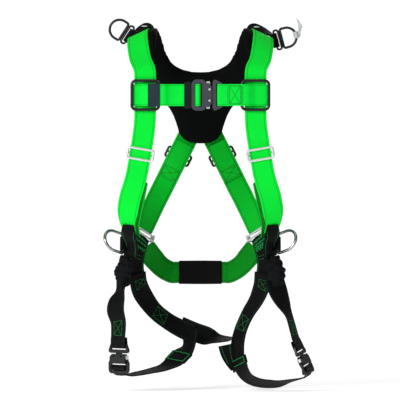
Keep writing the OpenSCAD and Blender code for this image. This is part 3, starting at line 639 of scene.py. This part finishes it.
def soft_sleeve(name, centre, length, inner_h, inner_t, wall, material, body, replaces,
                ribs=0.0, swell=0.6):
    """A flat tube of cloth round webbing that runs along X, with rolled ends."""
    around, stations = 48, 20
    cx, cy, cz = centre
    verts, uvs, faces = [], [], []

    def ring(x, grow, v):
        for k in range(around):
            t = 2 * math.pi * k / around
            ct, st = math.cos(t), math.sin(t)
            p = 0.16
            y = math.copysign(abs(ct) ** (2 * p), ct) * (inner_t / 2 + grow)
            z = math.copysign(abs(st) ** p, st) * (inner_h / 2 + grow)
            verts.append(Vector((cx + x, cy + y, cz + z)) * MM)
            uvs.append((z * MM, v * MM))

    for i in range(stations + 1):
        f = i / stations
        roll = math.exp(-((min(f, 1 - f) * length / 1.6) ** 2)) * 0.25
        wave = ribs * math.sin(f * length * 2.2)
        ring((f - 0.5) * length, wall * 0.85 + swell * math.sin(math.pi * f) * 0.3 + roll + wave,
             f * length)
    for i in range(stations + 1):
        f = 1 - i / stations
        ring((f - 0.5) * (length - 0.6), 0.1, f * length)
    total = 2 * (stations + 1)
    for i in range(total):
        for k in range(around):
            a, b = i * around + k, i * around + (k + 1) % around
            j = (i + 1) % total
            faces.append((a, b, j * around + (k + 1) % around, j * around + k))
    return add_mesh(name, verts, faces, uvs, material, body, replaces)


def applied(o):
    """Applies every modifier to o's mesh."""
    dg = bpy.context.evaluated_depsgraph_get()
    me = bpy.data.meshes.new_from_object(o.evaluated_get(dg))
    o.modifiers.clear()
    old = o.data
    o.data = me
    bpy.data.meshes.remove(old)


CLOTH_FRAMES = 20


def puffed(name, source, voxel, shrink, cap, material, pressure=4.0):
    """A padded piece swollen by Cloth pressure from a CAD solid's shape."""
    o = bpy.data.objects.new(name, nodes[source].data.copy())
    bpy.context.scene.collection.objects.link(o)
    o.data.materials.clear()
    m = o.modifiers.new("Remesh", "REMESH")
    m.mode, m.voxel_size = "VOXEL", voxel
    applied(o)
    for v in o.data.vertices:
        v.co = v.co - v.normal * shrink
    rest = [(v.co.copy(), v.normal.copy()) for v in o.data.vertices]
    c = o.modifiers.new("Cloth", "CLOTH")
    c.settings.quality = 5
    c.settings.use_pressure = True
    c.settings.uniform_pressure_force = pressure
    c.settings.effector_weights.gravity = 0
    c.point_cache.frame_start, c.point_cache.frame_end = 1, CLOTH_FRAMES
    for f in range(1, CLOTH_FRAMES + 1):
        bpy.context.scene.frame_set(f)
    dg = bpy.context.evaluated_depsgraph_get()
    swollen = [v.co.copy() for v in o.evaluated_get(dg).data.vertices]
    o.modifiers.clear()
    bpy.context.scene.frame_set(1)
    for v, (a, normal), b in zip(o.data.vertices, rest, swollen):
        v.co = a + normal * min(max((b - a).dot(normal), 0), cap)
    sm = o.modifiers.new("Smooth", "SMOOTH")
    sm.factor, sm.iterations = 0.5, 4
    sub = o.modifiers.new("Subsurf", "SUBSURF")
    sub.levels = sub.render_levels = 1
    applied(o)
    for p in o.data.polygons:
        p.use_smooth = True
    o.data.materials.clear()
    o.data.materials.append(material)
    return o


# ---------------------------------------------------------------- camera, light, floor
VIEW_SIDE, VIEW_AWAY = 0.8332, 9.0
view_centre = Vector((-0.0008, -0.15, -0.1666))
cam = bpy.data.objects.new("camera", bpy.data.cameras.new("camera"))
bpy.context.scene.collection.objects.link(cam)
cam.data.sensor_width = 36
cam.data.lens = 36 * VIEW_AWAY / VIEW_SIDE
cam.data.clip_end = 60
cam.location = view_centre - Vector((0, VIEW_AWAY, 0))
cam.rotation_euler = (math.pi / 2, 0, 0)
bpy.context.scene.camera = cam


def area(name, at, target, size, power, colour=(1, 1, 1)):
    o = bpy.data.objects.new(name, bpy.data.lights.new(name, "AREA"))
    bpy.context.scene.collection.objects.link(o)
    o.location = at
    o.rotation_euler = (Vector(target) - Vector(at)).to_track_quat("-Z", "Y").to_euler()
    o.data.size = size
    o.data.energy = power
    o.data.color = colour
    return o


area("key", (-1.9, -2.6, 1.1), (0, -0.1, -0.15), 1.6, 80)
area("fill", (2.2, -2.4, 0.4), (0, -0.1, -0.2), 2.0, 6)
area("top", (0, -0.4, 2.6), (0, -0.1, -0.1), 1.8, 12)
area("rear", (0.5, 3.0, 1.2), (0, 0, -0.1), 2.0, 24)
world = bpy.data.worlds.new("studio")
bpy.context.scene.world = world
world.use_nodes = True
wt = world.node_tree
path_node = wt.nodes.new("ShaderNodeLightPath")
# The world lights the object weakly, and the camera sees it white
WORLD_LIGHT, WORLD_SEEN = 0.18, 1.04
strength = math_node(wt, "MULTIPLY_ADD", path_node.outputs["Is Camera Ray"],
                     WORLD_SEEN - WORLD_LIGHT, WORLD_LIGHT)
wt.nodes["Background"].inputs[0].default_value = (1, 1, 1, 1)
wt.links.new(strength, wt.nodes["Background"].inputs[1])
bpy.context.scene.view_settings.view_transform = "Standard"

floor_z = cad_box[0].z - 0.004
fm = bpy.data.meshes.new("floor")
ring_count = 64
floor_verts = [Vector((2.6 * math.cos(a), 2.6 * math.sin(a), floor_z)) for a in
               (2 * math.pi * k / ring_count for k in range(ring_count))]
fm.from_pydata([*floor_verts, Vector((0, 0, floor_z))], [],
               [(k, (k + 1) % ring_count, ring_count) for k in range(ring_count)])
floor = bpy.data.objects.new("floor", fm)
bpy.context.scene.collection.objects.link(floor)
floor_mat, ft, fb = tree("floor_paint")
ft.links.new(mix_colour(ft, noise_value(ft, 3.0), (0.93, 0.93, 0.93), (0.9, 0.9, 0.9)),
             fb.inputs["Base Color"])
fb.inputs["Roughness"].default_value = 0.9
fb.inputs["Emission Color"].default_value = (1, 1, 1, 1)
fb.inputs["Emission Strength"].default_value = 0.5
fm.materials.append(floor_mat)

# ---------------------------------------------------------------- straps
LR = ((-1, "l"), (1, "r"))
for s, tag in LR:
    ribbon(f"shoulder_webbing_{tag}", side(SHOULDER, s), GREEN,
           replaces=[f"shoulder_strap_{tag}"], seed=s,
           widths=lambda f: 1 if f < 0.93 else 1 - (f - 0.93) * 6)
    # The tail, back and back-return straps use the darker green webbing: painted shade.
    ribbon(f"tail_webbing_{tag}", side(TAIL, s), GREEN_PAINTED_SHADE,
           replaces=[f"torso_tail_{tag}"], seed=s + 3)
    ribbon(f"back_webbing_{tag}", side(BACK, s), GREEN_PAINTED_SHADE,
           replaces=[f"back_strap_{tag}"], seed=s + 5)
    _, strip = ribbon(f"back_return_webbing_{tag}", side(RETURN, s), GREEN_PAINTED_SHADE,
                      seed=s + 15)
    end = strip.s[-1] / MM
    stitches(f"back_stitch_{tag}", strip, box_x(-17, 17, end - 25, end - 3), THREAD_DARK,
             yarn=0.55)
    _, hip = ribbon(f"hip_webbing_{tag}", side(HIP, s), BLACK,
                    replaces=[f"hip_strap_{tag}"], seed=s + 7)
    tacks = bar_tack(-17, 17, 6) + bar_tack(-17, 17, 14) + bar_tack(-17, 17, 24, 7, 9)
    if s > 0:
        tacks += bar_tack(-17, 17, 20)
    stitches(f"hip_tack_{tag}", hip, tacks, THREAD_BRIGHT, pitch=2.2, yarn=0.6)
    stitches(f"hip_line_{tag}", hip, [[(-18, 4), (-18, 90)], [(18, 4), (18, 90)],
                                      [(-14, 44), (14, 44)], [(-14, 52), (14, 52)]], THREAD)
    _, front = ribbon(f"hip_front_webbing_{tag}", side(HIP_FRONT, s), BLACK,
                      seed=s + 9, widths=lambda f: min(1, 0.5 + f * 1.3))
    stitches(f"hip_front_stitch_{tag}", front, [[(-14, 14), (-18, 66)], [(14, 14), (18, 66)]], THREAD)
    _, tab = ribbon(f"side_tab_webbing_{tag}", tab_path(s), BLACK, width=32, steps=6,
                    replaces=[f"side_tab_{tag}"], seed=s + 11)
    end = tab.s[-1] / MM
    stitches(f"side_tab_stitch_{tag}", tab, [[(-12, 3), (12, 3)], [(-12, 8), (12, 8)],
                                             [(-12, end - 3), (12, end - 3)],
                                             [(-12, end - 8), (12, end - 8)]], THREAD_BRIGHT,
             pitch=2.6)
# The seat strap uses the darkest green webbing: painted shade.
ribbon("seat_webbing", SEAT, GREEN_SEAT_PAINTED_SHADE, replaces=["seat_strap"])

for name, path in (("leg_strap_l", LEG_STRAP_L), ("leg_strap_r", LEG_STRAP_R),
                   ("leg_lower_strap_l", LEG_LOWER_L), ("leg_lower_strap_r", LEG_LOWER_R),
                   ("cross_strap", CROSS)):
    _, strip = ribbon(f"{name}_webbing", path, BLACK, replaces=[name],
                      seed=len(name) + len(path))
    total = strip.s[-1] / MM
    lines = [[(-17.5, 4), (-17.5, total - 4)], [(17.5, 4), (17.5, total - 4)]]
    stitches(f"{name}_edge_thread", strip, lines, THREAD_BLACK, pitch=3.4, yarn=0.4)
    if name.startswith("leg_strap"):
        at = strip.where(2, -0.399 if name.endswith("l") else -0.411) / MM
        lines = box_x(-14, 14, at, at + 30) + box_x(-9, 15, 14, 32)
        stitches(f"{name}_thread", strip, lines, THREAD, pitch=3.4, yarn=0.4)
_, flap = ribbon("leg_flap_webbing", FLAP, BLACK, width=26,
                 replaces=["leg_flap"], widths=lambda f: 1.15 - 0.75 * f * f)
stitches("leg_flap_thread", flap, [[(-9, 2), (-5, 40)], [(9, 2), (5, 40)]], THREAD)

for s, tag, path in ((-1, "l", LEG_FRONT_L), (1, "r", LEG_FRONT_R)):
    web, strip = ribbon(f"leg_front_webbing_{tag}", path, BLACK, body=None,
                        replaces=[f"leg_front_strap_{tag}"], seed=20 + s)
    total = strip.s[-1] / MM
    thread = stitches(f"leg_front_thread_{tag}", strip,
                      box_x(-12, 12, 92, 122), THREAD, body=None, pitch=3.4, yarn=0.4)
    for piece in (web, thread):
        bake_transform(piece)

# Bands round the leg straps
for tag, path, first, last in (("l", LEG_LOWER_L, 2, 3), ("r", LEG_LOWER_R, 0, 1)):
    part = path[first:last + 1]
    _, strip = ribbon(f"leg_band_{tag}", part, BLACK, width=WEB_W + 2.8, thick=WEB_T + 2.6,
                      replaces=[f"leg_keeper_{tag}"], seed=31)
    total = strip.s[-1] / MM
    stitches(f"leg_band_thread_{tag}", strip,
             [[(-19, 2.5), (19, 2.5), (19, total - 2.5), (-19, total - 2.5), (-19, 2.5)]],
             THREAD_BRIGHT, thick=WEB_T + 2.6, yarn=0.45)

# ---------------------------------------------------------------- chest strap
ribbon("chest_webbing_left", CHEST_LEFT, GREEN_CHEST, body="chest_band", steps=5,
       replaces=["chest_strap_left"], seed=2, wobble=0.05)
web, right = ribbon("chest_webbing_right", CHEST_RIGHT, GREEN_CHEST, body=None, steps=5,
                    replaces=["chest_strap_right"], seed=4, wobble=0.05)
turn = min(range(len(right.c)), key=lambda i: right.c[i].x)
a = right.where(0, 0.0600, turn) / MM
b = right.where(0, 0.0825, turn) / MM
lines = box_x(-18, 18, a, b) + [[(-18, a - 3.5), (18, a - 3.5)], [(-18, b + 2.5), (18, b + 2.5)],
                                [(-18, b + 4.8), (18, b + 4.8)]]
thread = stitches("chest_thread_right", right, lines, THREAD_DARK, body=None, pitch=2.8, yarn=0.55)
for piece in (web, thread):
    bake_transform(piece)
soft_sleeve("chest_keeper_elastic", (-96, OVER_Y, CHEST_Z), 25, WEB_W + 1.2, WEB_T + 0.8, 1,
            ELASTIC, "chest_keeper", ["chest_keeper"], ribs=0.08)
soft_sleeve("buckle_keeper_band", (-26, (MAIN_Y + TAIL_Y) / 2, CHEST_Z), 15, WEB_W + 7, 6.2, 1.2,
            RIBBED, "buckle_keeper", ["buckle_keeper"], ribs=0.06)
soft_sleeve("seat_sleeve_cloth", (0, -44, -319), 90, WEB_W + 1.4, WEB_T + 2.2, 1.5, SLEEVE,
            "seat_sleeve", ["seat_sleeve"], swell=1.6)

# ---------------------------------------------------------------- shoulder loops and label
def ring_point(k, x, y, z):
    """A point in a shoulder ring's own frame, in millimetres, with its outward X."""
    at, lean, s = SHOULDER_RINGS[k]
    t = math.radians(lean)
    x *= s
    return Vector((at[0] + x * math.cos(t) + z * math.sin(t), at[1] + y,
                   at[2] - x * math.sin(t) + z * math.cos(t)))


def ring_axis(k):
    return ring_point(k, 0, 0, 1) - ring_point(k, 0, 0, 0)


for k, (tag, arch) in enumerate(zip("lr", ARCH)):
    up = ring_axis(k)
    path = list(arch)
    for x, y, f in ((-19.5, -3.2, 0.85), (-16, -4.2, 1), (-11, -3, 1),
                    (-9.6, 0, 1), (-11, 3, 1), (-16, 4.2, 1), (-21, 3.6, 1)):
        z = 9 * (1 - f)
        p = ring_point(k, x, y, z)
        w = Vector((0, 1, 0)).lerp(up, f).normalized()
        path.append([*p, *w])
    _, loop = ribbon(f"shoulder_loop_webbing_{tag}", path, BLACK, width=30, steps=6,
                     replaces=[f"shoulder_loop_{tag}"], square=False,
                     wobble=0.05, thick=3.6)
    stitches(f"shoulder_loop_thread_{tag}", loop, [[(-12, 34), (12, 34)], [(-12, 37), (12, 37)]],
             THREAD_BLACK)
    top = Vector(arch[3][:3]) * MM
    pts = []
    for x, y in ((-5, -17), (5, -17), (5, 17), (-5, 17)):
        pts.append(top + Vector((x, y, 2.6 - abs(x) * 0.06)) * MM)
    loop_pts = []
    for i in range(4):
        a, b = pts[i], pts[(i + 1) % 4]
        loop_pts += [a.lerp(b, f) for f in (0.12, 0.3, 0.5, 0.7, 0.88)]
    tube(f"shoulder_slide_{tag}", loop_pts, 0.0012, STEEL, "harness", closed=True)

def label_material():
    """Creased, cloudy film."""
    m, t, bsdf = tree("label_film")
    crease = noise_value(t, 120.0, 4.0)
    t.links.new(mix_colour(t, crease, (0.82, 0.84, 0.85), (0.5, 0.53, 0.54)),
                bsdf.inputs["Base Color"])
    t.links.new(math_node(t, "MULTIPLY_ADD", crease, 0.3, 0.25), bsdf.inputs["Roughness"])
    bsdf.inputs["Transmission Weight"].default_value = 0.25
    bump(t, bsdf, crease, 0.4, 0.0006)
    return m


TAG = label_material()
label_path = []
up = ring_axis(1)
for t in range(200, -161, -24):
    r = math.radians(t)
    p = ring_point(1, 31 + 5.2 * math.cos(r), 5.2 * math.sin(r), 0)
    label_path.append([*p, *up])
for x, y, z, wx, wz in ((38.5, -2.2, 0.5, 0, 1), (41.5, -1.2, 4, 0.5, 0.8),
                        (43.5, -0.8, 11, 0.9, 0.35), (43.8, -0.6, 19, 1, 0.0),
                        (42.6, -0.5, 27, 1, -0.2), (41, -0.4, 33, 1, -0.25)):
    p = ring_point(1, x, y, z)
    q = ring_point(1, x + wx, y, z + wz) - p
    label_path.append([*p, *q])
ribbon("ring_label", label_path, TAG, body="ring_tag", width=14, thick=0.5, steps=4,
       replaces=["ring_tag"], square=False, wobble=0.2,
       widths=lambda f: 1 if f < 0.62 else max(0.12, 1 - (f - 0.62) * 2.3))

# ---------------------------------------------------------------- pads
# The bunched webbing's axis in metres, and how often its folds and dents repeat per metre
BUNCH_AXIS_X, BUNCH_AXIS_Y = 0.159, -0.181
FOLD_RATE, CRUMPLE_RATE = 420, 90
pad = puffed("back_pad_cushion", "back_pad", 0.004, -0.0012, 0.0035, PAD)
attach(pad, "harness")
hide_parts("back_pad")
for s, tag in LR:
    roll = puffed(f"hip_bunch_{tag}", f"hip_pad_{tag}", 0.004, 0.0, 0.006, BUNCH)
    for v in roll.data.vertices:
        turn = math.atan2(v.co.y - BUNCH_AXIS_Y, v.co.x - s * BUNCH_AXIS_X)
        fold = math.sin(v.co.z * FOLD_RATE + turn * 1.5)
        crumple = noise.noise(v.co * CRUMPLE_RATE)
        v.co = v.co + v.normal * (0.001 + fold * 0.0016 + crumple * 0.003)
    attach(roll, "harness")
    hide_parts(f"hip_pad_{tag}")

# ---------------------------------------------------------------- metal and plastic from the CAD
METALS = {
    "gunmetal": (GUNMETAL, ["chest_buckle_body", "chest_buckle_tongue", "dorsal_plate"]),
    "black": (BLACK_METAL, ["leg_buckle_body_l", "leg_buckle_body_r", "leg_buckle_tongue_l",
                            "leg_buckle_tongue_r", "shoulder_ring_l", "shoulder_ring_r",
                            "chest_ring_l", "chest_ring_r", "back_adjuster_l",
                            "back_adjuster_r"]),
    "steel": (STEEL, ["torso_adjuster_l", "torso_adjuster_r", "hip_buckle_l", "hip_buckle_r",
                      "chest_buckle_pins", "chest_button_top", "chest_button_bottom",
                      "leg_button_front_l", "leg_button_back_l", "leg_button_front_r",
                      "leg_button_back_r"]),
    "chrome": (CHROME, ["side_ring_l", "side_ring_r", "dorsal_ring"]),
}
BEVELLED = ("buckle_body", "buckle_tongue", "dorsal_plate", "button", "hip_buckle")
for material, names in METALS.values():
    for n in names:
        o = nodes[n]
        o.data.materials.clear()
        o.data.materials.append(material)
        if any(b in n for b in BEVELLED):
            m = o.modifiers.new("Bevel", "BEVEL")
            m.width, m.segments, m.limit_method = 0.0005, 2, "ANGLE"
            m.angle_limit = math.radians(35)
